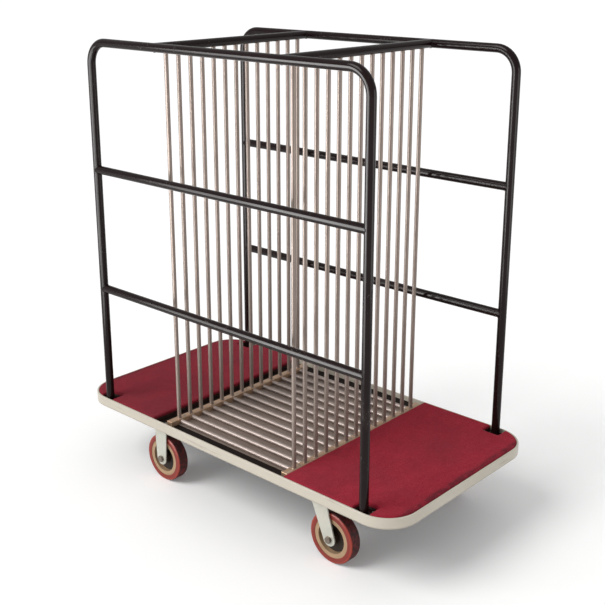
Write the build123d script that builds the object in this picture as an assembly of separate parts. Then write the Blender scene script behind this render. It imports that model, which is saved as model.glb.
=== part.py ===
from build123d import *
import math
import os

# A four-wheeled hotel cart for round table tops: a carpeted deck with a bumper
# edge, two tube hoops, and a rack of upright rods between them.
# Millimetres.  +X runs along the deck towards the swivel casters, +Y towards
# the back hoop, +Z up.  The origin is on the floor under the deck's centre.

# ---- deck -------------------------------------------------------------------
board_length = 1270.0
board_width = 660.0
board_corner_r = 95.0
board_t = 16.0
lip_h = 16.0              # how far the bumper stands above the board
bumper_t = 5.0
bumper_reveal = 1.0       # board left showing under the bumper
bumper_edge_r = 1.5
tongue_depth = 8.0        # the bumper's barb, pushed into a groove in the board
tongue_t = 2.2
tongue_gap = 0.1
underlay_t = 9.0
carpet_t = 8.0
carpet_edge_r = 2.5
panel_edge_gap = 1.0      # between a carpet panel and the bumper
left_panel_gap = 43.0     # bare board between the left rack rail and the carpet
right_panel_gap = 1.5

# ---- hoops ------------------------------------------------------------------
tube_od = 25.4
tube_wall = 1.6
weld_gap = 0.03           # between a coped tube end and the tube it is welded to
post_inset_x = 106.5      # board end to post centre
post_side_gap = 2.3       # between a post and the bumper
hoop_rise = 1130.0        # bumper top to the centre of the top tube
hoop_bend_r = 65.0
upper_rail_rise = 749.0
lower_rail_rise = 370.0
flange_length = 50.0
flange_depth = 42.0
flange_t = 4.0
flange_edge_gap = 1.0
flange_notch_gap = 2.0    # round each flange, where the carpet is cut away
flange_screw_inset = 8.0

# ---- rod rack ---------------------------------------------------------------
rack_half_span = 242.0    # deck centre to each plane of rods
rod_d = 12.7
rod_count = 13
rod_end_gap = 43.8        # hoop centre to the first rod
rack_rail_w = 22.0
rack_rail_h = 16.0
rack_rail_end_gap = 3.0   # hoop centre to the rail's end, inwards
tray_t = 1.0
tray_side_gap = 0.5
tray_front_gap = 14.0     # how far the tray runs past the first and last rods
rail_screw_slots = (0, 5, 6, 11)

# ---- casters ----------------------------------------------------------------
wheel_d = 152.0
wheel_w = 38.0
tyre_t = 17.0
tyre_edge_r = 6.0
rim_t = 13.0
rim_inset = 1.5           # rim face behind the tyre's side
web_t = 9.0
hub_r = 19.0
hub_overhang = 3.0        # hub face beyond the tyre's side
hub_gap = 1.0             # hub face to the fork leg
caster_headroom = 48.0    # top of the wheel to the underside of the board
swivel_inset_x = 285.0    # board end to kingpin
rigid_inset_x = 325.0     # board end to rigid axle
caster_inset_y = 64.0     # board side to the wheel's middle plane
trail = 41.0              # kingpin to axle, along the deck
leg_t = 4.0
leg_tip_r = 20.0
leg_top_front = 28.0      # leg's reach past the kingpin, away from the axle
leg_top_back = 27.0
fork_crown_t = 5.0
fork_bend_r = 8.0
plate_length = 114.0
plate_width = 102.0
plate_t = 4.5
plate_corner_r = 8.0
plate_hole_dx = 92.0
plate_hole_dy = 73.0
race_r = 30.0
race_gap = 2.0
upper_race_t = 6.5
ball_r = 2.7
ball_circle_r = 24.0
ball_gap = 0.3
ball_count = 20
kingpin_r = 6.0
kingpin_head_r = 11.0
kingpin_head_t = 3.0
kingpin_nut_af = 19.0
kingpin_nut_t = 7.5
kingpin_washer_r = 14.0
kingpin_washer_t = 1.4
washer_gap = 0.3
running_gap = 0.05        # radial, shaft in a hole
axle_r = 6.0
axle_head_af = 18.0
axle_head_t = 7.5
axle_nut_t = 7.0
axle_end = 3.0            # thread showing past the nut
spacer_wall = 2.5
roller_r = 2.0
roller_count = 12
roller_gap = 0.05
roller_end_gap = 4.0      # roller end behind the hub's face

# ---- fasteners --------------------------------------------------------------
bolt_r = 4.0
bolt_head_r = 9.0
bolt_head_t = 3.0
bolt_nut_af = 13.0
bolt_nut_t = 6.5
bolt_end = 2.0
screw_r = 2.2
screw_head_r = 4.5
screw_head_t = 2.6
flange_screw_length = 14.0
rail_screw_length = 24.0
hole_gap = 0.1

# ---- places that follow from the sizes --------------------------------------
wheel_r = wheel_d / 2
board_bottom = wheel_d + caster_headroom
board_top = board_bottom + board_t
bumper_top = board_top + lip_h
bumper_bottom = board_bottom + bumper_reveal
underlay_top = board_top + underlay_t
half_length = board_length / 2
half_width = board_width / 2

tube_r = tube_od / 2
post_x = half_length - post_inset_x
post_y = half_width - tube_r - post_side_gap
top_z = bumper_top + hoop_rise
rail_levels = {"upper": bumper_top + upper_rail_rise, "lower": bumper_top + lower_rail_rise}
post_foot_z = board_top + flange_t
flange_y_out = half_width - flange_edge_gap
flange_y_in = flange_y_out - flange_depth

rod_r = rod_d / 2
rod_first_y = -(post_y - rod_end_gap)
rod_pitch = -2 * rod_first_y / (rod_count - 1)
rod_rows = [rod_first_y + rod_pitch * i for i in range(rod_count)]
rack_rail_top = board_top + rack_rail_h
rack_rail_end = post_y - rack_rail_end_gap
floor_rod_z = board_top + tray_t + rod_r
rail_inner_x = rack_half_span - rack_rail_w / 2
rail_outer_x = rack_half_span + rack_rail_w / 2

swivel_x = half_length - swivel_inset_x
rigid_x = -(half_length - rigid_inset_x)
caster_y = half_width - caster_inset_y
swivel_axle_x = swivel_x + trail
hub_half = wheel_w / 2 + hub_overhang
leg_inner_y = hub_half + hub_gap
leg_outer_y = leg_inner_y + leg_t
plate_bottom = board_bottom - plate_t
upper_race_bottom = plate_bottom - upper_race_t
crown_top = upper_race_bottom - race_gap
crown_bottom = crown_top - fork_crown_t
ball_z = upper_race_bottom - race_gap / 2
spacer_r = axle_r + running_gap + spacer_wall
hub_bore_r = spacer_r + 2 * roller_r + 2 * roller_gap
roller_circle_r = spacer_r + roller_gap + roller_r

parts = {}


# ---- shapes used more than once ---------------------------------------------
def group(solids):
    """Identical or matching pieces that share one file, as separate solids."""
    return Compound(children=list(solids))


def slab(length, width, radius, z_low, z_high):
    """A flat plate with rounded corners, centred on the Z axis."""
    return Pos(0, 0, z_low) * extrude(RectangleRounded(length, width, radius), z_high - z_low)


def block(x_low, x_high, y_low, y_high, z_low, z_high):
    """A plain box from its lowest corner to its highest."""
    centre = Pos((x_low + x_high) / 2, (y_low + y_high) / 2, (z_low + z_high) / 2)
    return centre * Box(x_high - x_low, y_high - y_low, z_high - z_low)


def upright(x, y, z_low, z_high, radius):
    """A round bar along Z."""
    return Pos(x, y, (z_low + z_high) / 2) * Cylinder(radius, z_high - z_low)


def bar_x(x_low, x_high, y, z, radius):
    """A round bar along X."""
    return Pos((x_low + x_high) / 2, y, z) * Rot(0, 90, 0) * Cylinder(radius, x_high - x_low)


def bar_y(x, y_low, y_high, z, radius):
    """A round bar along Y."""
    return Pos(x, (y_low + y_high) / 2, z) * Rot(90, 0, 0) * Cylinder(radius, y_high - y_low)


def hex_y(x, y_low, y_high, z, across_flats):
    """A hexagonal head or nut with its axis along Y."""
    outline = RegularPolygon(across_flats / 2, 6, major_radius=False)
    return Plane.XZ.offset(-y_high) * Pos(x, z) * extrude(outline, y_high - y_low)


def hex_z(x, y, z_low, z_high, across_flats):
    """A hexagonal nut with its axis along Z."""
    outline = RegularPolygon(across_flats / 2, 6, major_radius=False)
    return Pos(x, y, z_low) * extrude(outline, z_high - z_low)


def corners(x, y, dx, dy):
    """The four points of a rectangular pattern round a centre."""
    return [(x + i * dx / 2, y + j * dy / 2) for i in (-1, 1) for j in (-1, 1)]


def screw(x, y, z_seat, length):
    """A pan-head wood screw standing on z_seat, its shank pointing down."""
    head = upright(x, y, z_seat, z_seat + screw_head_t, screw_head_r)
    head = fillet(head.edges().group_by(Axis.Z)[-1], screw_head_t * 0.6)
    return head + upright(x, y, z_seat - length, z_seat, screw_r)


# ---- deck: board, bumper, underlays and carpets -----------------------------
caster_places = [(swivel_x, -caster_y), (swivel_x, caster_y), (rigid_x, -caster_y), (rigid_x, caster_y)]
bolt_places = [p for x, y in caster_places for p in corners(x, y, plate_hole_dx, plate_hole_dy)]
post_places = [(sx * post_x, sy * post_y) for sx in (-1, 1) for sy in (-1, 1)]
flange_screw_places = [
    (x + side * (flange_length / 2 - flange_screw_inset), math.copysign(flange_y_in + flange_screw_inset, y))
    for x, y in post_places
    for side in (-1, 1)
]
rail_screw_places = [
    (side * rack_half_span, rod_rows[i] + rod_pitch / 2)
    for side in (-1, 1)
    for i in rail_screw_slots
]
flange_screw_end = post_foot_z - flange_screw_length
rail_screw_end = rack_rail_top - screw_head_t - rail_screw_length


def board_ring(inset, z_low, z_high):
    """A ring along the board's edge, from the edge to a depth of inset."""
    outer = slab(board_length, board_width, board_corner_r, z_low, z_high)
    inner = slab(board_length - 2 * inset, board_width - 2 * inset, board_corner_r - inset, z_low, z_high)
    return outer - inner


tongue_mid = board_bottom + board_t / 2
board = slab(board_length, board_width, board_corner_r, board_bottom, board_top)
groove_half = tongue_t / 2 + tongue_gap
board -= board_ring(tongue_depth + tongue_gap, tongue_mid - groove_half, tongue_mid + groove_half)
for x, y in bolt_places:
    board -= upright(x, y, board_bottom, board_top, bolt_r + hole_gap)
    board -= upright(x, y, board_top - bolt_head_t, board_top, bolt_head_r + hole_gap)
for x, y in flange_screw_places:
    board -= upright(x, y, flange_screw_end - hole_gap, board_top, screw_r + hole_gap)
for x, y in rail_screw_places:
    board -= upright(x, y, rail_screw_end - hole_gap, board_top, screw_r + hole_gap)
parts["deck_board"] = board

bumper = slab(
    board_length + 2 * bumper_t, board_width + 2 * bumper_t, board_corner_r + bumper_t, bumper_bottom, bumper_top
)
outer_edges = bumper.edges().filter_by_position(Axis.Z, bumper_bottom, bumper_bottom)
outer_edges += bumper.edges().filter_by_position(Axis.Z, bumper_top, bumper_top)
bumper = fillet(outer_edges, bumper_edge_r)
bumper -= slab(board_length, board_width, board_corner_r, bumper_bottom, bumper_top)
bumper += board_ring(tongue_depth, tongue_mid - tongue_t / 2, tongue_mid + tongue_t / 2)
parts["edge_bumper"] = bumper


def deck_panel(x_low, x_high, z_low, z_high):
    """The part of the deck's outline between two X values, cut away at the feet."""
    inset = 2 * panel_edge_gap
    outline = slab(board_length - inset, board_width - inset, board_corner_r - panel_edge_gap, z_low, z_high)
    panel = outline & block(x_low, x_high, -half_width, half_width, z_low, z_high)
    reach = flange_length / 2 + flange_notch_gap
    for x, y in post_places:
        y_in = math.copysign(flange_y_in - flange_notch_gap, y)
        y_out = math.copysign(half_width + 1, y)
        panel -= block(x - reach, x + reach, min(y_in, y_out), max(y_in, y_out), z_low, z_high)
    return panel


panel_spans = {
    "left": (-half_length, -(rail_outer_x + left_panel_gap)),
    "right": (rail_outer_x + right_panel_gap, half_length),
}
for side, (x_low, x_high) in panel_spans.items():
    parts[f"{side}_underlay"] = deck_panel(x_low, x_high, board_top, underlay_top)
    carpet = deck_panel(x_low, x_high, underlay_top, underlay_top + carpet_t)
    carpet = fillet(carpet.edges().group_by(Axis.Z)[-1], carpet_edge_r)
    parts[f"{side}_carpet"] = carpet


# ---- hoops: two bent tubes, each with two rails ------------------------------
def hoop(y):
    """An upside-down U of bent tube, standing on its two foot flanges."""
    path = FilletPolyline(
        (-post_x, y, post_foot_z), (-post_x, y, top_z), (post_x, y, top_z), (post_x, y, post_foot_z),
        radius=hoop_bend_r,
    )
    start = Plane(origin=path @ 0, z_dir=path % 0)
    return sweep(start * Circle(tube_r), path=path) - sweep(start * Circle(tube_r - tube_wall), path=path)


def hoop_rail(y, z):
    """A straight tube between the posts, its ends coped to sit on them."""
    rail = bar_x(-post_x, post_x, y, z, tube_r) - bar_x(-post_x, post_x, y, z, tube_r - tube_wall)
    for side in (-1, 1):
        rail -= upright(side * post_x, y, z - tube_od, z + tube_od, tube_r + weld_gap)
    return rail


for name, y in (("front", -post_y), ("back", post_y)):
    parts[f"{name}_hoop"] = hoop(y)
    for level, z in rail_levels.items():
        parts[f"{name}_{level}_rail"] = hoop_rail(y, z)


def foot_flange(x, y):
    """A small plate under a post, screwed to the board."""
    y_in = math.copysign(flange_y_in, y)
    y_out = math.copysign(flange_y_out, y)
    plate = block(
        x - flange_length / 2, x + flange_length / 2, min(y_in, y_out), max(y_in, y_out), board_top, post_foot_z
    )
    for sx, sy in flange_screw_places:
        if abs(sx - x) < flange_length and sy * y > 0:
            plate -= upright(sx, sy, board_top, post_foot_z, screw_r + hole_gap)
    return fillet(plate.edges().filter_by(Axis.Z).sort_by(SortBy.LENGTH)[-4:], 2.0)


parts["foot_flanges"] = group(foot_flange(x, y) for x, y in post_places)
parts["flange_screws"] = group(
    screw(x, y, post_foot_z, flange_screw_length) for x, y in flange_screw_places
)


# ---- rod rack: cross bars, rods, rails and tray ------------------------------
def cross_bar(x):
    """A tube between the two hoops' top tubes, its ends coped."""
    bar = bar_y(x, -post_y, post_y, top_z, tube_r) - bar_y(x, -post_y, post_y, top_z, tube_r - tube_wall)
    for y in (-post_y, post_y):
        bar -= bar_x(x - tube_od, x + tube_od, y, top_z, tube_r + weld_gap)
    return bar


def rack_rods(x):
    """The row of upright rods between a rack rail and the cross bar over it."""
    bar = bar_y(x, -post_y, post_y, top_z, tube_r + weld_gap)
    return group(upright(x, y, rack_rail_top, top_z - tube_r / 2, rod_r) - bar for y in rod_rows)


def rack_rail(x):
    """The flat bar that the rods stand on, countersunk for its screws."""
    rail = block(
        x - rack_rail_w / 2, x + rack_rail_w / 2, -rack_rail_end, rack_rail_end, board_top, rack_rail_top
    )
    rail = chamfer(rail.edges().group_by(Axis.Z)[-1], 0.8)
    for sx, sy in rail_screw_places:
        if sx * x > 0:
            rail -= upright(sx, sy, board_top, rack_rail_top, screw_r + hole_gap)
            rail -= upright(sx, sy, rack_rail_top - screw_head_t, rack_rail_top, screw_head_r + hole_gap)
    return rail


for name, x in (("left", -rack_half_span), ("right", rack_half_span)):
    parts[f"{name}_cross_bar"] = cross_bar(x)
    parts[f"{name}_rack_rods"] = rack_rods(x)
    parts[f"{name}_rack_rail"] = rack_rail(x)
parts["rail_screws"] = group(
    screw(x, y, rack_rail_top - screw_head_t, rail_screw_length) for x, y in rail_screw_places
)

tray_x = rail_inner_x - tray_side_gap
tray_y = -rod_first_y + tray_front_gap
parts["rack_tray"] = block(-tray_x, tray_x, -tray_y, tray_y, board_top, board_top + tray_t)
parts["floor_rods"] = group(
    bar_x(-rail_inner_x + weld_gap, rail_inner_x - weld_gap, y, floor_rod_z, rod_r) for y in rod_rows
)

# ---- caster plates and their bolts -------------------------------------------
parts["caster_bolts"] = group(
    upright(x, y, plate_bottom - bolt_nut_t - bolt_end, board_top - bolt_head_t, bolt_r)
    + upright(x, y, board_top - bolt_head_t, board_top, bolt_head_r)
    for x, y in bolt_places
)
parts["caster_nuts"] = group(
    hex_z(x, y, plate_bottom - bolt_nut_t, plate_bottom, bolt_nut_af)
    - upright(x, y, plate_bottom - bolt_nut_t, plate_bottom, bolt_r + hole_gap)
    for x, y in bolt_places
)


def top_plate(x, y):
    """A caster's mounting plate with its four bolt holes."""
    plate = Pos(x, y, 0) * slab(plate_length, plate_width, plate_corner_r, plate_bottom, board_bottom)
    for hole_x, hole_y in corners(x, y, plate_hole_dx, plate_hole_dy):
        plate -= upright(hole_x, hole_y, plate_bottom, board_bottom, bolt_r + hole_gap)
    return plate


def ball_groove(x, y):
    """The ring-shaped path of the balls, with their clearance."""
    return Pos(x, y, ball_z) * Torus(ball_circle_r, ball_r + ball_gap)


def fork_body(x_axle, x_front, x_back, z_top, crown_t):
    """A pressed fork: a channel with rounded shoulders, trimmed to its side outline."""
    z_axle = wheel_r
    z_low = z_axle - leg_tip_r - 1
    tall = z_top - z_low
    outside = Rectangle(2 * leg_outer_y, 2 * tall)
    outside = fillet(outside.vertices(), fork_bend_r)
    inside = Rectangle(2 * leg_inner_y, 2 * (tall - crown_t))
    inside = fillet(inside.vertices(), fork_bend_r - leg_t)
    reach = x_back - x_front + 4 * leg_tip_r + 2 * abs(trail)
    x_start = min(x_front, x_axle) - 2 * leg_tip_r
    channel = Plane.YZ.offset(x_start) * Pos(0, z_low) * extrude(outside - inside, reach)
    tip = Pos(x_axle, z_axle) * Circle(leg_tip_r)
    top = Line((x_front, z_top), (x_back, z_top))
    side = make_hull(tip.edges() + top.edges())
    trim = Plane.XZ.offset(-leg_outer_y) * extrude(side, 2 * leg_outer_y)
    return channel & trim


def axle_holes(x_axle):
    """The hole through both legs for the axle bolt."""
    return bar_y(x_axle, -leg_outer_y, leg_outer_y, wheel_r, axle_r + running_gap)


def kingpin_solid(x, y):
    """The kingpin: a flat head let into the plate, and a plain shank."""
    shank_end = crown_bottom - 2 * washer_gap - kingpin_washer_t - kingpin_nut_t
    head = upright(x, y, board_bottom - kingpin_head_t, board_bottom, kingpin_head_r)
    return head + upright(x, y, shank_end, board_bottom - kingpin_head_t, kingpin_r)


washer_top = crown_bottom - washer_gap
washer_bottom = washer_top - kingpin_washer_t
kingpin_nuts = []
kingpin_washers = []
for name, y in (("front", -caster_y), ("back", caster_y)):
    plate = top_plate(swivel_x, y) + upright(swivel_x, y, upper_race_bottom, plate_bottom, race_r)
    plate -= ball_groove(swivel_x, y)
    plate -= upright(swivel_x, y, upper_race_bottom, board_bottom, kingpin_r + hole_gap)
    plate -= upright(swivel_x, y, board_bottom - kingpin_head_t, board_bottom, kingpin_head_r + hole_gap)
    parts[f"{name}_swivel_plate"] = plate
    parts[f"{name}_kingpin"] = kingpin_solid(swivel_x, y)
    ball_angles = [math.radians(360 / ball_count * i) for i in range(ball_count)]
    parts[f"{name}_swivel_balls"] = group(
        Pos(swivel_x + ball_circle_r * math.cos(a), y + ball_circle_r * math.sin(a), ball_z) * Sphere(ball_r)
        for a in ball_angles
    )
    washer = upright(swivel_x, y, washer_bottom, washer_top, kingpin_washer_r)
    kingpin_washers.append(washer - upright(swivel_x, y, washer_bottom, washer_top, kingpin_r + hole_gap))
    nut_top = washer_bottom - washer_gap
    nut = hex_z(swivel_x, y, nut_top - kingpin_nut_t, nut_top, kingpin_nut_af)
    kingpin_nuts.append(nut - upright(swivel_x, y, nut_top - kingpin_nut_t, nut_top, kingpin_r + hole_gap))

    fork = Pos(0, y, 0) * fork_body(
        swivel_axle_x, swivel_x - leg_top_front, swivel_x + leg_top_back, crown_top, fork_crown_t
    )
    fork += upright(swivel_x, y, crown_bottom, crown_top, race_r)
    fork -= ball_groove(swivel_x, y)
    fork -= upright(swivel_x, y, crown_bottom, crown_top, kingpin_r + running_gap)
    fork -= Pos(0, y, 0) * axle_holes(swivel_axle_x)
    parts[f"{name}_swivel_fork"] = fork

    rigid = Pos(0, y, 0) * fork_body(
        rigid_x, rigid_x - leg_top_front, rigid_x + leg_top_back, plate_bottom, fork_crown_t
    )
    rigid += top_plate(rigid_x, y)
    rigid -= Pos(0, y, 0) * axle_holes(rigid_x)
    parts[f"{name}_rigid_fork"] = rigid
parts["kingpin_nuts"] = group(kingpin_nuts)
parts["kingpin_washers"] = group(kingpin_washers)


# ---- wheels, their bearings and their axles ----------------------------------
def axle_bolt(x, y, outward):
    """A hexagon-head bolt through the fork, its head on the outward side (-1 or 1)."""
    far = leg_outer_y + axle_nut_t + axle_end
    ends = sorted((outward * leg_outer_y, -outward * far))
    head = sorted((outward * leg_outer_y, outward * (leg_outer_y + axle_head_t)))
    shank = bar_y(x, y + ends[0], y + ends[1], wheel_r, axle_r)
    return shank + hex_y(x, y + head[0], y + head[1], wheel_r, axle_head_af)


def axle_nut(x, y, outward):
    """The lock nut on the axle's inward end."""
    low, high = sorted((-outward * leg_outer_y, -outward * (leg_outer_y + axle_nut_t)))
    nut = hex_y(x, y + low, y + high, wheel_r, axle_head_af)
    return nut - bar_y(x, y + low, y + high, wheel_r, axle_r + hole_gap)


def wheel_tyre(x, y):
    """The polyurethane tyre, a ring with rounded shoulders."""
    ring = bar_y(x, y - wheel_w / 2, y + wheel_w / 2, wheel_r, wheel_r)
    ring = fillet(ring.edges().filter_by(GeomType.CIRCLE), tyre_edge_r)
    return ring - bar_y(x, y - wheel_w / 2, y + wheel_w / 2, wheel_r, wheel_r - tyre_t)


def wheel_core(x, y):
    """The cast core: a rim, a thin web and a long hub with a roller bore."""
    rim_outer = wheel_r - tyre_t
    rim_half = wheel_w / 2 - rim_inset
    core = bar_y(x, y - rim_half, y + rim_half, wheel_r, rim_outer)
    core -= bar_y(x, y - rim_half, y + rim_half, wheel_r, rim_outer - rim_t)
    core += bar_y(x, y - web_t / 2, y + web_t / 2, wheel_r, rim_outer - rim_t / 2)
    core += bar_y(x, y - hub_half, y + hub_half, wheel_r, hub_r)
    return core - bar_y(x, y - hub_half, y + hub_half, wheel_r, hub_bore_r)


def wheel_spacer(x, y):
    """The steel sleeve clamped between the fork legs, on which the rollers run."""
    sleeve = bar_y(x, y - leg_inner_y, y + leg_inner_y, wheel_r, spacer_r)
    return sleeve - bar_y(x, y - leg_inner_y, y + leg_inner_y, wheel_r, axle_r + running_gap)


def wheel_rollers(x, y):
    """The rollers between sleeve and hub."""
    half = hub_half - roller_end_gap
    angles = [math.radians(360 / roller_count * i) for i in range(roller_count)]
    return group(
        bar_y(
            x + roller_circle_r * math.cos(a), y - half, y + half, wheel_r + roller_circle_r * math.sin(a), roller_r
        )
        for a in angles
    )


rigid_nuts = []
for row, y, outward in (("front", -caster_y, -1), ("back", caster_y, 1)):
    for side, x in (("left", rigid_x), ("right", swivel_axle_x)):
        name = f"{row}_{side}"
        parts[f"{name}_tyre"] = wheel_tyre(x, y)
        parts[f"{name}_wheel_core"] = wheel_core(x, y)
        parts[f"{name}_rollers"] = wheel_rollers(x, y)
        parts[f"{name}_spacer"] = wheel_spacer(x, y)
        parts[f"{name}_axle"] = axle_bolt(x, y, outward)
    rigid_nuts.append(axle_nut(rigid_x, y, outward))
    parts[f"{row}_right_axle_nut"] = axle_nut(swivel_axle_x, y, outward)
parts["left_axle_nuts"] = group(rigid_nuts)

os.makedirs("parts", exist_ok=True)
for name, shape in parts.items():
    export_step(shape, f"parts/{name}.step")
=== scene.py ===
import bmesh
import bpy
import math
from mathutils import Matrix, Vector, noise
from mathutils.bvhtree import BVHTree


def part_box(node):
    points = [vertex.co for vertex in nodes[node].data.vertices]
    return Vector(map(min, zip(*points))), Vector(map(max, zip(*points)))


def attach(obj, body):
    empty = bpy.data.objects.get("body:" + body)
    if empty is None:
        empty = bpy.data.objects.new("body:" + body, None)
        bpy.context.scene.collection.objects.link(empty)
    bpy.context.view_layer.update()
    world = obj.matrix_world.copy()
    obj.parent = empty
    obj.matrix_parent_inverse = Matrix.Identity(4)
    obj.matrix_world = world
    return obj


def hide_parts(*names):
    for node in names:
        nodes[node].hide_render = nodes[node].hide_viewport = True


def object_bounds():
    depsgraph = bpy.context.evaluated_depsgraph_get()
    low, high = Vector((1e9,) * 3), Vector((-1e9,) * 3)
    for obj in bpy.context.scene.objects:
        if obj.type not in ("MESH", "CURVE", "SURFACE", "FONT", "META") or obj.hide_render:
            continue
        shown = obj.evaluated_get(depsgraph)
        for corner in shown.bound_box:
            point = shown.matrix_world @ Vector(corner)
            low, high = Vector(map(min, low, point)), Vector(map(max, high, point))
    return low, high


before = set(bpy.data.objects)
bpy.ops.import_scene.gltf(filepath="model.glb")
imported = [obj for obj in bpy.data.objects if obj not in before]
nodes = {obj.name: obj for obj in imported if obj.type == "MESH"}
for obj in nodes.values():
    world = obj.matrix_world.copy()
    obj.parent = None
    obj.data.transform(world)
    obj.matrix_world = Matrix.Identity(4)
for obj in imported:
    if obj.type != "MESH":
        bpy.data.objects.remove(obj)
cad_low, cad_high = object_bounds()

# ---- Deck board ------------------------------------------------------------------------------
# Plywood with rounded corners, painted black on every side and bored for the caster bolts.
# Its grain shows through the paint. Its top stays bare beside the rack, where the edges of
# table tops have scuffed it.


class Amount:
    """A value that changes over a surface, so that sums of such values read as plain Python."""

    def __init__(self, finish, socket):
        self.finish = finish
        self.socket = socket

    def maths(self, operation, first, second):
        return self.finish.node("ShaderNodeMath", {"operation": operation}, {0: first, 1: second})

    def __add__(self, other):
        return self.maths("ADD", self, other)

    def __sub__(self, other):
        return self.maths("SUBTRACT", self, other)

    def __rsub__(self, other):
        return self.maths("SUBTRACT", other, self)

    def __mul__(self, other):
        return self.maths("MULTIPLY", self, other)

    __radd__ = __add__
    __rmul__ = __mul__


class Finish:
    """One material round a single surface shader, with its sockets' uniform values given by name."""

    def __init__(self, name, **uniform):
        self.material = bpy.data.materials.new(name)
        self.material.use_nodes = True
        self.tree = self.material.node_tree
        self.surface = self.tree.nodes["Principled BSDF"]
        self.place = self.node("ShaderNodeTexCoord", out="Object")
        for key, value in uniform.items():
            self.surface.inputs[self.label(key)].default_value = value

    @staticmethod
    def label(key):
        return key.replace("_", " ").title().replace("Ior", "IOR")

    def node(self, kind, settings=None, sockets=None, out=0):
        """A node with its settings and sockets filled in, as the value that it gives."""
        made = self.tree.nodes.new(kind)
        for key, value in (settings or {}).items():
            setattr(made, key, value)
        for key, value in (sockets or {}).items():
            if isinstance(value, Amount):
                self.tree.links.new(value.socket, made.inputs[key])
            else:
                made.inputs[key].default_value = value
        return Amount(self, made.outputs[out])

    def stretched(self, stretch):
        """The place on the piece, multiplied. A small factor draws a pattern out along its axis."""
        return self.node("ShaderNodeMapping", {}, {"Vector": self.place, "Scale": stretch})

    def grain(self, scale, detail=2.0, stretch=None, roughness=0.5):
        """Cloudy noise, finer with scale, which counts per metre."""
        point = self.stretched(stretch) if stretch else self.place
        sockets = {"Vector": point, "Scale": scale, "Detail": detail, "Roughness": roughness}
        return self.node("ShaderNodeTexNoise", {}, sockets)

    def cells(self, scale):
        """Distance to the nearest of scattered points, for tufts, lint, chips, pits and spangle."""
        return self.node("ShaderNodeTexVoronoi", {}, {"Vector": self.place, "Scale": scale}, "Distance")

    def band(self, amount, low, high):
        """0 at low, 1 at high, smooth between, and flat beyond them. low may be the larger."""
        sockets = {"Value": amount, "From Min": low, "From Max": high}
        return self.node("ShaderNodeMapRange", {"interpolation_type": "SMOOTHSTEP"}, sockets)

    def axis(self, letter):
        """One coordinate of the place on the piece, in metres."""
        return self.node("ShaderNodeSeparateXYZ", {}, {0: self.place}, letter)

    def mix(self, share, first, second):
        """A colour between two colours."""
        return self.node("ShaderNodeMix", {"data_type": "RGBA"}, {0: share, 6: first, 7: second}, 2)

    def feed(self, **sockets):
        """Links values to the surface shader's sockets."""
        for key, amount in sockets.items():
            self.tree.links.new(amount.socket, self.surface.inputs[self.label(key)])

    def relief(self, height, depth):
        """Bumps that stand depth metres out where height is 1."""
        self.feed(normal=self.node("ShaderNodeBump", {}, {"Height": height, "Distance": depth}, "Normal"))

    def dress(self, *names):
        """Puts this finish on CAD nodes, in place of the plain one that they come with."""
        for name in names:
            mesh = nodes[name].data
            mesh.materials.clear()
            mesh.materials.append(self.material)


def rgb(red, green, blue):
    """A colour from 0 to 255 as a screen shows it, in the linear values that a shader takes."""
    return tuple(((c / 255 + 0.055) / 1.055) ** 2.4 for c in (red, green, blue)) + (1.0,)


board_finish = Finish("black_board_paint", specular_ior_level=0.08)
ply_grain = board_finish.grain(70.0, 4.0, (0.05, 1.0, 1.0))
paint_cloud = board_finish.grain(8.0, 3.0)
scuffs = board_finish.band(board_finish.grain(46.0, 6.0, (0.3, 1.0, 1.0), 0.7), 0.6, 0.7)
black_paint = board_finish.mix(paint_cloud, rgb(15, 9, 7), rgb(27, 19, 16))
board_finish.feed(
    base_color=board_finish.mix(scuffs * 0.4, black_paint, rgb(66, 56, 50)),
    roughness=0.5 + ply_grain * 0.15 + scuffs * 0.15,
)
board_finish.relief(ply_grain, 0.0005)
board_finish.dress("deck_board")

# ---- Bumper ----------------------------------------------------------------------------------
# A beige vinyl strip, pressed by its tongue into a groove round the board, its edges rounded.
# Walls and doors leave it with dark rubs along its length, and it is darker along its lower edge.
darker_edge_height = 0.006
bumper_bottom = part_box("edge_bumper")[0].z
bumper_finish = Finish("beige_vinyl", specular_ior_level=0.25)
vinyl_cloud = bumper_finish.grain(6.0, 3.0)
long_rubs = bumper_finish.band(bumper_finish.grain(30.0, 5.0, (0.22, 0.22, 2.4), 0.62), 0.6, 0.7)
# The bumper is darker along its lowest few millimetres.
darker_low_edge = bumper_finish.band(bumper_finish.axis("Z"), bumper_bottom + darker_edge_height, bumper_bottom)
vinyl = bumper_finish.mix(vinyl_cloud, rgb(202, 195, 181), rgb(190, 182, 168))
rubbed_vinyl = bumper_finish.mix(long_rubs * 0.4, vinyl, rgb(158, 143, 128))
bumper_finish.feed(
    base_color=bumper_finish.mix(darker_low_edge * 0.45, rubbed_vinyl, rgb(132, 120, 106)),
    roughness=0.3 + vinyl_cloud * 0.12 + long_rubs * 0.2,
)
bumper_finish.relief(bumper_finish.grain(380.0, 3.0) + long_rubs * 0.4, 0.00025)
bumper_finish.dress("edge_bumper")

# ---- Underlays -------------------------------------------------------------------------------
# Two hardboard panels glued to the board, which lift the carpets up to the bumper's top edge.
# Their sawn edges show as a dark fibrous line beside the rack and round the post feet.
underlay_finish = Finish("hardboard", specular_ior_level=0.2)
fibres = underlay_finish.grain(420.0, 4.0, (1.0, 1.0, 0.4))
underlay_finish.feed(
    base_color=underlay_finish.mix(fibres, rgb(34, 18, 15), rgb(62, 38, 31)),
    roughness=0.75 + fibres * 0.2,
)
underlay_finish.relief(fibres, 0.0005)
underlay_finish.dress("left_underlay", "right_underlay")
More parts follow.
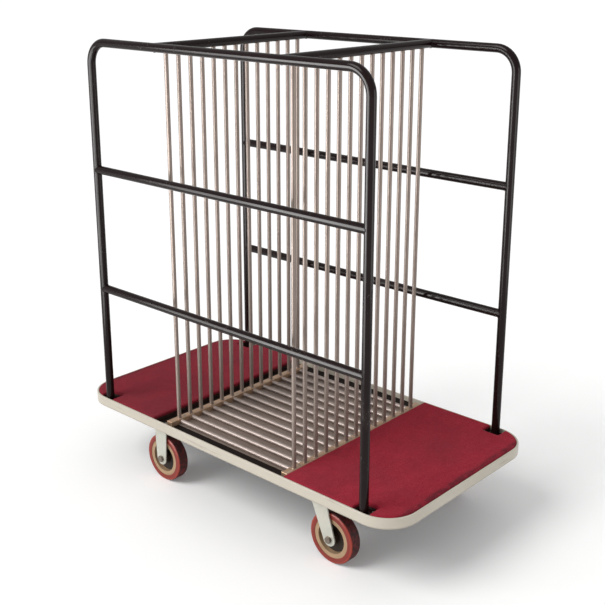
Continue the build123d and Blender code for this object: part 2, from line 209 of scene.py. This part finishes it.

# ---- Carpets ---------------------------------------------------------------------------------
# Burgundy cut-pile carpet bonded to each underlay, cut out round the post feet. The pile rolls
# over at its cut edges, and goods press it down in patches. Painted shade darkens the hollows
# between tufts and the whole left panel, and both ends of the deck carry painted shade with swept dirt.
pile_height = 0.003  # the pile's crown above the carpet's flat top
pile_swell = 0.0004  # its rise and fall round that
roll_over = 0.011  # from a cut edge to the full crown
broad_swells = 24.0  # per metre
fine_swells = 95.0
carpet_voxel = 0.003
left_shade_change = 0.2  # either side of the deck's middle
end_shade_fades = 0.024  # from the carpet's end
end_shade_full = 0.01
carpet_finish = Finish("burgundy_carpet", specular_ior_level=0.1, sheen_weight=0.04, sheen_roughness=0.5)
tufts = carpet_finish.cells(560.0)
yarn = carpet_finish.grain(900.0, 3.0)
pile_lie = carpet_finish.grain(11.0, 4.0, (1.0, 0.55, 1.0))
pressed = carpet_finish.band(carpet_finish.grain(4.5, 3.0), 0.42, 0.68)
mottle = carpet_finish.band(carpet_finish.grain(62.0, 4.0, (1.0, 0.6, 1.0), 0.6), 0.35, 0.68)
lint = carpet_finish.band(carpet_finish.cells(70.0), 0.06, 0.03)
tuft_tip = carpet_finish.band(tufts, 0.75, 0.1)
# The hollows between tufts are painted darker than the tips, as shade.
shaded_hollow_red = carpet_finish.mix(pile_lie, rgb(132, 19, 38), rgb(164, 28, 50))
tip_red = carpet_finish.mix(pile_lie, rgb(184, 42, 62), rgb(210, 56, 78))
pile_red = carpet_finish.mix(tuft_tip * (0.25 + yarn * 0.4 + mottle * 0.5), shaded_hollow_red, tip_red)
worn_red = carpet_finish.mix(pressed * 0.3, pile_red, rgb(122, 34, 48))
along_deck = carpet_finish.axis("X")
# The whole left panel is painted darker, as shade.
left_panel_shade = carpet_finish.band(along_deck, left_shade_change, -left_shade_change)
left_shaded_red = carpet_finish.mix(left_panel_shade * 0.42, worn_red, rgb(80, 18, 28))
carpet_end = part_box("right_carpet")[1].x
# A dark band along both ends of the deck: painted shade, with swept dirt.
by_right_end = carpet_finish.band(along_deck, carpet_end - end_shade_fades, carpet_end - end_shade_full)
by_left_end = carpet_finish.band(along_deck, end_shade_fades - carpet_end, end_shade_full - carpet_end)
end_shade_and_dirt = (by_right_end + by_left_end) * (0.75 - mottle * 0.5)
end_shaded_red = carpet_finish.mix(end_shade_and_dirt, left_shaded_red, rgb(84, 20, 32))
carpet_finish.feed(
    base_color=carpet_finish.mix(lint * 0.35, end_shaded_red, rgb(196, 130, 130)),
    roughness=0.9 + yarn * 0.1,
)
carpet_finish.relief(tuft_tip + yarn * 0.5 + pile_lie * 0.3, 0.0011)


def carpet(side):
    """The CAD carpet with a soft top, which is raised, swells and rolls over at the cut edges."""
    low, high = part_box(f"{side}_carpet")
    shape = bmesh.new()
    shape.from_mesh(nodes[f"{side}_carpet"].data)
    bmesh.ops.remove_doubles(shape, verts=shape.verts, dist=1e-6)
    cut_area = shape.calc_volume() / (high.z - low.z)
    walls = [face for face in shape.faces if abs(face.normal.z) < 0.5]
    wall_corners = [[corner.index for corner in face.verts] for face in walls]
    cut_edges = BVHTree.FromPolygons([corner.co for corner in shape.verts], wall_corners)
    mesh = bpy.data.meshes.new(f"{side}_pile_carpet")
    shape.to_mesh(mesh)
    shape.free()
    piece = bpy.data.objects.new(f"{side}_pile_carpet", mesh)
    bpy.context.scene.collection.objects.link(piece)
    remesh = piece.modifiers.new("even_faces", "REMESH")
    remesh.mode = "VOXEL"
    remesh.voxel_size = carpet_voxel
    piece.data = bpy.data.meshes.new_from_object(piece.evaluated_get(bpy.context.evaluated_depsgraph_get()))
    piece.modifiers.clear()
    middle_z = (low.z + high.z) / 2
    for vertex in piece.data.vertices:
        share = max(0.0, min(1.0, (vertex.co.z - low.z) / (high.z - low.z)))
        inset = cut_edges.find_nearest((vertex.co.x, vertex.co.y, middle_z))[3]
        crown = math.sqrt(1 - (1 - min(1.0, inset / roll_over)) ** 2)
        swell = noise.noise(vertex.co * broad_swells) + 0.5 * noise.noise(vertex.co * fine_swells)
        vertex.co.z += share * crown * (pile_height + pile_swell * swell)
        vertex.co.z = max(vertex.co.z, low.z)
    piece.data.materials.clear()
    piece.data.materials.append(carpet_finish.material)
    piece.data.shade_smooth()
    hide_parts(f"{side}_carpet")
    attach(piece, "cart")


carpet("left")
carpet("right")

# ---- Hoops, rails, cross bars and feet --------------------------------------------------------
# One-inch steel tube, bent, coped and welded with a rippled bead, its posts welded to foot
# plates. All of it is powder coated a near-black brown, knocked here and there.
tube_finish = Finish("black_tube_paint", specular_ior_level=0.17)
orange_peel = tube_finish.grain(430.0, 2.0)
coat_cloud = tube_finish.grain(9.0, 3.0)
chip_zone = tube_finish.band(tube_finish.grain(7.0, 2.0), 0.56, 0.66)
chips = tube_finish.band(tube_finish.cells(120.0), 0.2, 0.13) * chip_zone
rubbed = tube_finish.band(tube_finish.grain(60.0, 5.0, (0.4, 0.4, 0.12), 0.65), 0.6, 0.74)
brown_black = tube_finish.mix(coat_cloud, rgb(20, 8, 8), rgb(31, 17, 17))
dulled = tube_finish.mix(rubbed * 0.25, brown_black, rgb(70, 62, 59))
tube_finish.feed(
    base_color=tube_finish.mix(chips, dulled, rgb(88, 80, 76)),
    roughness=0.1 + coat_cloud * 0.08 + rubbed * 0.2 + chips * 0.2,
)
tube_finish.relief(orange_peel * 0.5 - chips, 0.00018)
hoop_names = ("front_hoop", "back_hoop")
side_rails = [f"{row}_{level}_rail" for row in ("front", "back") for level in ("upper", "lower")]
cross_bars = ("left_cross_bar", "right_cross_bar")
tube_finish.dress(*hoop_names, *side_rails, *cross_bars, "foot_flanges")

hoop_low, hoop_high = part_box("front_hoop")
tube_r = (hoop_high.y - hoop_low.y) / 2
tube_post_x = hoop_high.x - tube_r
front_post_y = hoop_low.y + tube_r
top_tube_z = hoop_high.z - tube_r
tube_bead_r = 0.0018
tube_ripple = 0.003
ripple_depth = 0.16  # share of the bead's radius
ring_points = 48
bead_sides = 6
least_reach = 0.15  # share of the other tube's radius, where a ring runs past its side


def ring(centre, radius, across, along, reach, other_r):
    """A closed line round a tube's end, where it meets another tube, or a flat face if other_r is 0.

    across and along are the two directions round the end. The other tube's length lies in the
    direction along, and reach points from its middle to this end.
    """
    points = []
    for step in range(ring_points):
        turn = 2 * math.pi * step / ring_points
        sideways = radius * math.cos(turn)
        out = math.sqrt(max(other_r**2 - sideways**2, (least_reach * other_r) ** 2))
        points.append(centre + across * sideways + along * (radius * math.sin(turn)) + reach * out)
    return points


def bead_tree():
    """Geometry nodes that turn closed lines into rippled weld beads."""
    tree = bpy.data.node_groups.new("weld_bead", "GeometryNodeTree")
    sockets = (
        ("Lines", "NodeSocketGeometry"),
        ("Bead Radius", "NodeSocketFloat"),
        ("Ripple Pitch", "NodeSocketFloat"),
        ("Ripple Depth", "NodeSocketFloat"),
        ("Step", "NodeSocketFloat"),
        ("Finish", "NodeSocketMaterial"),
    )
    for label, kind in sockets:
        tree.interface.new_socket(label, in_out="INPUT", socket_type=kind)
    tree.interface.new_socket("Beads", in_out="OUTPUT", socket_type="NodeSocketGeometry")

    def add(kind, sockets=None, **settings):
        made = tree.nodes.new(kind)
        for key, value in settings.items():
            setattr(made, key, value)
        for key, value in (sockets or {}).items():
            if isinstance(value, bpy.types.NodeSocket):
                tree.links.new(value, made.inputs[key])
            else:
                made.inputs[key].default_value = value
        return made.outputs

    given = add("NodeGroupInput")
    lines = add("GeometryNodeMeshToCurve", {"Mesh": given["Lines"]})["Curve"]
    even = add("GeometryNodeResampleCurve", {"Curve": lines, "Length": given["Step"]}, mode="LENGTH")["Curve"]
    travelled = add("GeometryNodeSplineParameter")["Length"]
    ripples = add("ShaderNodeMath", {0: travelled, 1: given["Ripple Pitch"]}, operation="DIVIDE")[0]
    turns = add("ShaderNodeMath", {0: ripples, 1: 2 * math.pi}, operation="MULTIPLY")[0]
    wave = add("ShaderNodeMath", {0: turns}, operation="SINE")[0]
    swell = add("ShaderNodeMath", {0: wave, 1: given["Ripple Depth"], 2: 1.0}, operation="MULTIPLY_ADD")[0]
    rippled = add("GeometryNodeSetCurveRadius", {"Curve": even, "Radius": swell})["Curve"]
    round_bead = {"Resolution": bead_sides, "Radius": given["Bead Radius"]}
    section = add("GeometryNodeCurvePrimitiveCircle", round_bead)["Curve"]
    tube = add("GeometryNodeCurveToMesh", {"Curve": rippled, "Profile Curve": section})["Mesh"]
    smooth = add("GeometryNodeSetShadeSmooth", {"Geometry": tube})["Geometry"]
    real = add("GeometryNodeRealizeInstances", {"Geometry": smooth})["Geometry"]
    coloured = add("GeometryNodeSetMaterial", {"Geometry": real, "Material": given["Finish"]})["Geometry"]
    add("NodeGroupOutput", {"Beads": coloured})
    return tree


bead_nodes = bead_tree()


def weld(name, rings, bead_r, pitch, finish):
    """Beads along closed lines, kept below the hoops' tops, as one mesh that rides on the cart."""
    mesh = bpy.data.meshes.new(name)
    ceiling = cad_high.z - 1.2 * bead_r
    points = [(point.x, point.y, min(point.z, ceiling)) for line in rings for point in line]
    edges = []
    first = 0
    for line in rings:
        edges += [(first + i, first + (i + 1) % len(line)) for i in range(len(line))]
        first += len(line)
    mesh.from_pydata(points, edges, [])
    piece = bpy.data.objects.new(name, mesh)
    bpy.context.scene.collection.objects.link(piece)
    beads = piece.modifiers.new("beads", "NODES")
    beads.node_group = bead_nodes
    chosen = {
        "Bead Radius": bead_r,
        "Ripple Pitch": pitch,
        "Ripple Depth": ripple_depth,
        "Step": pitch / 3,
        "Finish": finish.material,
    }
    for item in bead_nodes.interface.items_tree:
        if item.in_out == "INPUT" and item.name in chosen:
            beads[item.identifier] = chosen[item.name]
    piece.data = bpy.data.meshes.new_from_object(piece.evaluated_get(bpy.context.evaluated_depsgraph_get()))
    piece.modifiers.clear()
    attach(piece, "cart")


x_way = Vector((1, 0, 0))
y_way = Vector((0, 1, 0))
z_way = Vector((0, 0, 1))
tube_rings = []
for y_side in (-1, 1):
    post_y = y_side * abs(front_post_y)
    for x_side in (-1, 1):
        post = Vector((x_side * tube_post_x, post_y, 0))
        foot = Vector((post.x, post.y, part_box("foot_flanges")[1].z))
        tube_rings.append(ring(foot, tube_r, x_way, y_way, z_way, 0))
        for level in ("upper", "lower"):
            rail_low, rail_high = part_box(f"front_{level}_rail")
            joint = post + z_way * ((rail_low.z + rail_high.z) / 2)
            tube_rings.append(ring(joint, tube_r, y_way, z_way, -x_side * x_way, tube_r))
    for bar in cross_bars:
        bar_x = (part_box(bar)[0].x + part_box(bar)[1].x) / 2
        joint = Vector((bar_x, post_y, top_tube_z))
        tube_rings.append(ring(joint, tube_r, z_way, x_way, -y_side * y_way, tube_r))
weld("tube_welds", tube_rings, tube_bead_r, tube_ripple, tube_finish)

# ---- Rack: rails, tray, floor rods and upright rods --------------------------------------------
# Two rows of half-inch plated rods are welded under the cross bars and on flat bars screwed to
# the board. More rods lie across the floor between the bars, over a thin dull sheet.
rail_finish = Finish("yellow_zinc", metallic=0.6, specular_ior_level=0.4)
zinc_bloom = rail_finish.grain(30.0, 4.0)
rail_scratches = rail_finish.band(rail_finish.grain(160.0, 4.0, (1.0, 0.06, 1.0)), 0.58, 0.7)
zinc_tan = rail_finish.mix(zinc_bloom, rgb(190, 160, 132), rgb(160, 128, 104))
rail_finish.feed(
    base_color=rail_finish.mix(rail_scratches * 0.5, zinc_tan, rgb(206, 192, 176)),
    roughness=0.34 + zinc_bloom * 0.2,
)
rail_finish.relief(rail_scratches, 0.0001)
rail_finish.dress("left_rack_rail", "right_rack_rail")

tray_finish = Finish("rolled_sheet", metallic=0.5, specular_ior_level=0.3)
roll_lines = tray_finish.grain(110.0, 3.0, (0.04, 1.0, 1.0))
tray_stain = tray_finish.grain(6.0, 4.0)
tray_scuffs = tray_finish.band(tray_finish.grain(55.0, 5.0, (1.0, 0.3, 1.0), 0.65), 0.58, 0.72)
sheet_grey = tray_finish.mix(tray_stain, rgb(146, 132, 123), rgb(116, 102, 95))
tray_finish.feed(
    base_color=tray_finish.mix(tray_scuffs * 0.4, sheet_grey, rgb(176, 162, 152)),
    roughness=0.36 + roll_lines * 0.16 + tray_stain * 0.1,
)
tray_finish.relief(roll_lines, 0.0002)
tray_finish.dress("rack_tray")

rod_finish = Finish("plated_rod", metallic=0.32, specular_ior_level=0.22)
draw_lines = rod_finish.grain(260.0, 2.0, (1.0, 1.0, 0.03))
haze = rod_finish.grain(14.0, 3.0)
pit_zone = rod_finish.band(rod_finish.grain(12.0), 0.5, 0.66)
pits = rod_finish.band(rod_finish.cells(210.0), 0.16, 0.08) * pit_zone
plating = rod_finish.mix(haze, rgb(146, 133, 125), rgb(122, 109, 101))
rod_finish.feed(
    base_color=rod_finish.mix(pits * 0.6, plating, rgb(104, 78, 60)),
    roughness=0.24 + draw_lines * 0.12 + haze * 0.1 + pits * 0.3,
)
rod_finish.dress("left_rack_rods", "right_rack_rods")

floor_rod_finish = Finish("scuffed_rod", metallic=0.3, specular_ior_level=0.3)
glass_rubs = floor_rod_finish.grain(120.0, 5.0, (0.25, 1.0, 1.0), 0.65)
rod_stain = floor_rod_finish.grain(9.0, 4.0)
dull_plating = floor_rod_finish.mix(rod_stain, rgb(178, 166, 160), rgb(146, 132, 125))
floor_rod_finish.feed(
    base_color=floor_rod_finish.mix(glass_rubs * 0.6, dull_plating, rgb(116, 101, 95)),
    roughness=0.4 + glass_rubs * 0.16,
)
floor_rod_finish.relief(glass_rubs, 0.0001)
floor_rod_finish.dress("floor_rods")

rod_count = 13
rod_bead_r = 0.0011
rod_ripple = 0.0022
row_low, row_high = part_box("left_rack_rods")
rod_r = (row_high.x - row_low.x) / 2
rod_pitch = (row_high.y - row_low.y - 2 * rod_r) / (rod_count - 1)
rod_rings = []
for bar, rail in zip(cross_bars, ("left_rack_rail", "right_rack_rail")):
    row_x = (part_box(bar)[0].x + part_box(bar)[1].x) / 2
    for index in range(rod_count):
        rod_y = row_low.y + rod_r + index * rod_pitch
        under_bar = Vector((row_x, rod_y, top_tube_z))
        on_rail = Vector((row_x, rod_y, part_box(rail)[1].z))
        rod_rings.append(ring(under_bar, rod_r, x_way, y_way, -z_way, tube_r))
        rod_rings.append(ring(on_rail, rod_r, x_way, y_way, z_way, 0))
weld("rod_welds", rod_rings, rod_bead_r, rod_ripple, rod_finish)

# ---- Screws, bolts and nuts ---------------------------------------------------------------------
# Plated countersunk screws hold the rack and the foot plates, and flat-headed bolts with hexagon
# nuts clamp the caster plates through the board. Their zinc has dulled in cloudy patches.
screw_finish = Finish("dulled_zinc_screws", metallic=0.9, specular_ior_level=0.5)
screw_stain = screw_finish.grain(140.0, 4.0)
thread_marks = screw_finish.grain(700.0, 2.0, (0.2, 0.2, 1.0))
screw_finish.feed(
    base_color=screw_finish.mix(screw_stain, rgb(172, 164, 154), rgb(104, 94, 86)),
    roughness=0.28 + screw_stain * 0.25,
)
screw_finish.relief(thread_marks, 0.0001)
screw_finish.dress("flange_screws", "rail_screws", "caster_bolts", "caster_nuts")

# ---- Caster plates and forks ----------------------------------------------------------------------
# Pressed steel, zinc plated to a soft white. The swivel forks turn on two rings of balls under
# their plates, held by a kingpin; the fixed forks are welded to theirs. Grease darkens the race.
fork_finish = Finish("white_zinc", metallic=0.35, specular_ior_level=0.45)
spangle = fork_finish.cells(60.0)
zinc_cloud = fork_finish.grain(13.0, 3.0)
press_marks = fork_finish.band(fork_finish.grain(120.0, 5.0, (1.0, 1.0, 0.12), 0.65), 0.58, 0.72)
white_zinc = fork_finish.mix(zinc_cloud, rgb(184, 189, 182), rgb(180, 173, 158))
fork_finish.feed(
    base_color=fork_finish.mix(press_marks * 0.35, white_zinc, rgb(150, 144, 132)),
    roughness=0.3 + spangle * 0.12 + zinc_cloud * 0.12 + press_marks * 0.15,
)
fork_finish.relief(spangle * 0.4 - press_marks, 0.00015)
for row in ("front", "back"):
    fork_finish.dress(f"{row}_swivel_plate", f"{row}_swivel_fork", f"{row}_rigid_fork")

pin_finish = Finish("greased_steel", metallic=0.9, specular_ior_level=0.5)
grease = pin_finish.band(pin_finish.grain(110.0, 3.0), 0.45, 0.62)
pin_finish.feed(
    base_color=pin_finish.mix(grease, rgb(164, 156, 146), rgb(62, 48, 38)),
    roughness=0.24 + grease * 0.25,
)
pin_finish.relief(grease, 0.0002)
pin_finish.dress("front_kingpin", "back_kingpin", "kingpin_nuts", "kingpin_washers")
pin_finish.dress("front_swivel_balls", "back_swivel_balls")

# ---- Wheels and axles -----------------------------------------------------------------------------
# Six-inch tan cast cores with brick-red polyurethane tyres moulded on. They run on rollers round a
# spacer on a hexagon-headed axle. The webs are painted dark as shade, the tyres' shoulders carry a
# painted highlight, and the treads are painted dark as shade with floor dirt.
web_shade_full = 0.0155  # in from the core's outside
web_shade_ends = 0.0125
shoulder_starts = 0.008  # in from the tread
shoulder_full = 0.005
tread_starts = 0.0012
tread_ragged = 0.0012
tread_past = 0.0002  # beyond the tread, so that its painted shade and dirt are never quite full
axle_finish = Finish("dark_axle_zinc", metallic=0.85, specular_ior_level=0.5)
axle_stain = axle_finish.grain(170.0, 4.0)
axle_finish.feed(
    base_color=axle_finish.mix(axle_stain, rgb(132, 122, 112), rgb(72, 62, 55)),
    roughness=0.32 + axle_stain * 0.25,
)
axle_finish.dress("left_axle_nuts", "front_right_axle_nut", "back_right_axle_nut")

steel_finish = Finish("bright_bearing_steel", metallic=1.0, specular_ior_level=0.5)
oil_film = steel_finish.grain(190.0, 3.0)
steel_finish.feed(
    base_color=steel_finish.mix(oil_film, rgb(206, 204, 200), rgb(160, 148, 130)),
    roughness=0.12 + oil_film * 0.15,
)


def from_axle(finish, hub):
    """How far a place on a wheel is from the line of its axle, which passes through hub."""
    flat_place = {0: finish.place, 1: (1, 0, 1), 2: tuple(-hub)}
    spoke = finish.node("ShaderNodeVectorMath", {"operation": "MULTIPLY_ADD"}, flat_place)
    return finish.node("ShaderNodeVectorMath", {"operation": "LENGTH"}, {0: spoke}, "Value")


for side in ("left", "right"):
    tyre_low, tyre_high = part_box(f"front_{side}_tyre")
    core_low, core_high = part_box(f"front_{side}_wheel_core")
    hub = Vector(((tyre_low.x + tyre_high.x) / 2, 0, (tyre_low.z + tyre_high.z) / 2))
    tyre_r = (tyre_high.x - tyre_low.x) / 2
    core_r = (core_high.x - core_low.x) / 2

    core_finish = Finish(f"{side}_tan_cast_core", specular_ior_level=0.2)
    core_reach = from_axle(core_finish, hub)
    # Inside the rim the web is painted dark, as shade in its recess.
    rim = core_finish.band(core_reach, core_r - web_shade_full, core_r - web_shade_ends)
    cast_grain = core_finish.grain(300.0, 4.0)
    core_cloud = core_finish.grain(34.0, 4.0)
    tan_paint = core_finish.mix(core_cloud, rgb(182, 153, 120), rgb(150, 121, 92))
    shaded_web = core_finish.mix(core_cloud, rgb(52, 38, 26), rgb(22, 15, 11))
    core_finish.feed(
        base_color=core_finish.mix(rim, shaded_web, tan_paint),
        roughness=0.45 + core_cloud * 0.3,
    )
    core_finish.relief(cast_grain, 0.0005)

    tyre_finish = Finish(f"{side}_brick_red_tyre", specular_ior_level=0.25)
    tyre_reach = from_axle(tyre_finish, hub)
    tyre_cloud = tyre_finish.grain(30.0, 4.0)
    # A lighter ring round the tyre's shoulder: painted highlight.
    shoulder_highlight = tyre_finish.band(tyre_reach, tyre_r - shoulder_starts, tyre_r - shoulder_full)
    ragged_reach = tyre_reach + tyre_cloud * tread_ragged
    tread = tyre_finish.band(ragged_reach, tyre_r - tread_starts, tyre_r + tread_past)
    floor_dirt = tyre_finish.band(tyre_finish.grain(90.0, 5.0), 0.3, 0.6)
    side_red = tyre_finish.mix(tyre_cloud, rgb(140, 48, 37), rgb(118, 39, 32))
    brick_red = tyre_finish.mix(shoulder_highlight * 0.6, side_red, rgb(166, 62, 46))
    # The tread is painted dark, as shade, with floor dirt in patches.
    shaded_dirty_tread = tyre_finish.mix(floor_dirt, rgb(100, 30, 30), rgb(58, 20, 21))
    tyre_finish.feed(
        base_color=tyre_finish.mix(tread, brick_red, shaded_dirty_tread),
        roughness=0.3 + tyre_cloud * 0.12 + tread * 0.3,
    )
    tyre_finish.relief(tyre_finish.grain(520.0, 2.0) + tread * floor_dirt, 0.0002)

    for row in ("front", "back"):
        core_finish.dress(f"{row}_{side}_wheel_core")
        tyre_finish.dress(f"{row}_{side}_tyre")
        axle_finish.dress(f"{row}_{side}_axle")
        steel_finish.dress(f"{row}_{side}_rollers", f"{row}_{side}_spacer")

# ---- Studio ---------------------------------------------------------------------------------------
# A plain white floor under a broad soft light from the left front, in an even, dimmer surround
# that looks whiter straight on. Three cards, seen only in reflections, give the tubes and rods
# their highlights. The camera stands off the right front corner, a little above the hoops.
white = (1.0, 1.0, 1.0, 1.0)
floor_reach = 40.0
floor_finish = Finish("studio_floor", specular_ior_level=0.1, emission_color=white, emission_strength=0.09)
floor_tone = floor_finish.grain(2.5)
floor_finish.feed(
    base_color=floor_finish.mix(floor_tone, rgb(252, 252, 252), rgb(249, 249, 249)),
    roughness=0.8 + floor_tone * 0.1,
)
floor_shape = bmesh.new()
bmesh.ops.create_grid(floor_shape, x_segments=2, y_segments=2, size=floor_reach)
floor_mesh = bpy.data.meshes.new("studio_floor")
floor_shape.to_mesh(floor_mesh)
floor_shape.free()
floor_mesh.materials.append(floor_finish.material)
floor = bpy.data.objects.new("studio_floor", floor_mesh)
bpy.context.scene.collection.objects.link(floor)
cart_middle = Vector((0, 0, 0.6))


def light(name, kind, place, power, **settings):
    """A light that shines from its place towards the middle of the cart."""
    data = bpy.data.lights.new(name, kind)
    data.energy = power
    for key, value in settings.items():
        setattr(data, key, value)
    lamp = bpy.data.objects.new(name, data)
    bpy.context.scene.collection.objects.link(lamp)
    lamp.location = place
    lamp.rotation_euler = (cart_middle - Vector(place)).to_track_quat("-Z", "Y").to_euler()
    lamp.visible_camera = False
    return lamp


light("key_light", "SUN", (-1.6, -3.2, 4.4), 1.8, angle=math.radians(34), color=(1.0, 0.995, 0.985))
cards = (
    ("rail_card", (-1.3, -2.2, 0.85), 66.0, 1.5, 1.6),
    ("post_card", (-0.25, -1.45, 0.75), 42.0, 1.2, 1.4),
    ("right_card", (2.6, 0.6, 0.9), 25.0, 1.4, 1.8),
)
for name, place, power, wide, tall in cards:
    card = light(name, "AREA", place, power, shape="RECTANGLE", size=wide, size_y=tall)
    card.visible_diffuse = False

surround_light = 0.6
seen_extra = 0.4
surround = bpy.data.worlds.new("surround")
surround.use_nodes = True
surround_tree = surround.node_tree
paper = surround_tree.nodes["Background"]
paper.inputs["Color"].default_value = white
seen_directly = surround_tree.nodes.new("ShaderNodeLightPath").outputs["Is Camera Ray"]
paper_strength = surround_tree.nodes.new("ShaderNodeMath")
paper_strength.operation = "MULTIPLY_ADD"
paper_strength.inputs[1].default_value = seen_extra
paper_strength.inputs[2].default_value = surround_light
surround_tree.links.new(seen_directly, paper_strength.inputs[0])
surround_tree.links.new(paper_strength.outputs[0], paper.inputs["Strength"])
bpy.context.scene.world = surround
bpy.context.scene.view_settings.view_transform = "Standard"

camera = bpy.data.objects.new("camera", bpy.data.cameras.new("camera"))
bpy.context.scene.collection.objects.link(camera)
camera.location = (2.019, -2.187, 1.620)
camera_aim = Vector((-0.045, 0.079, 0.703))
camera.rotation_euler = (camera_aim - camera.location).to_track_quat("-Z", "Y").to_euler()
camera.data.sensor_width = 36.0
camera.data.lens = 61.7
camera.data.shift_y = -0.07
bpy.context.scene.camera = camera
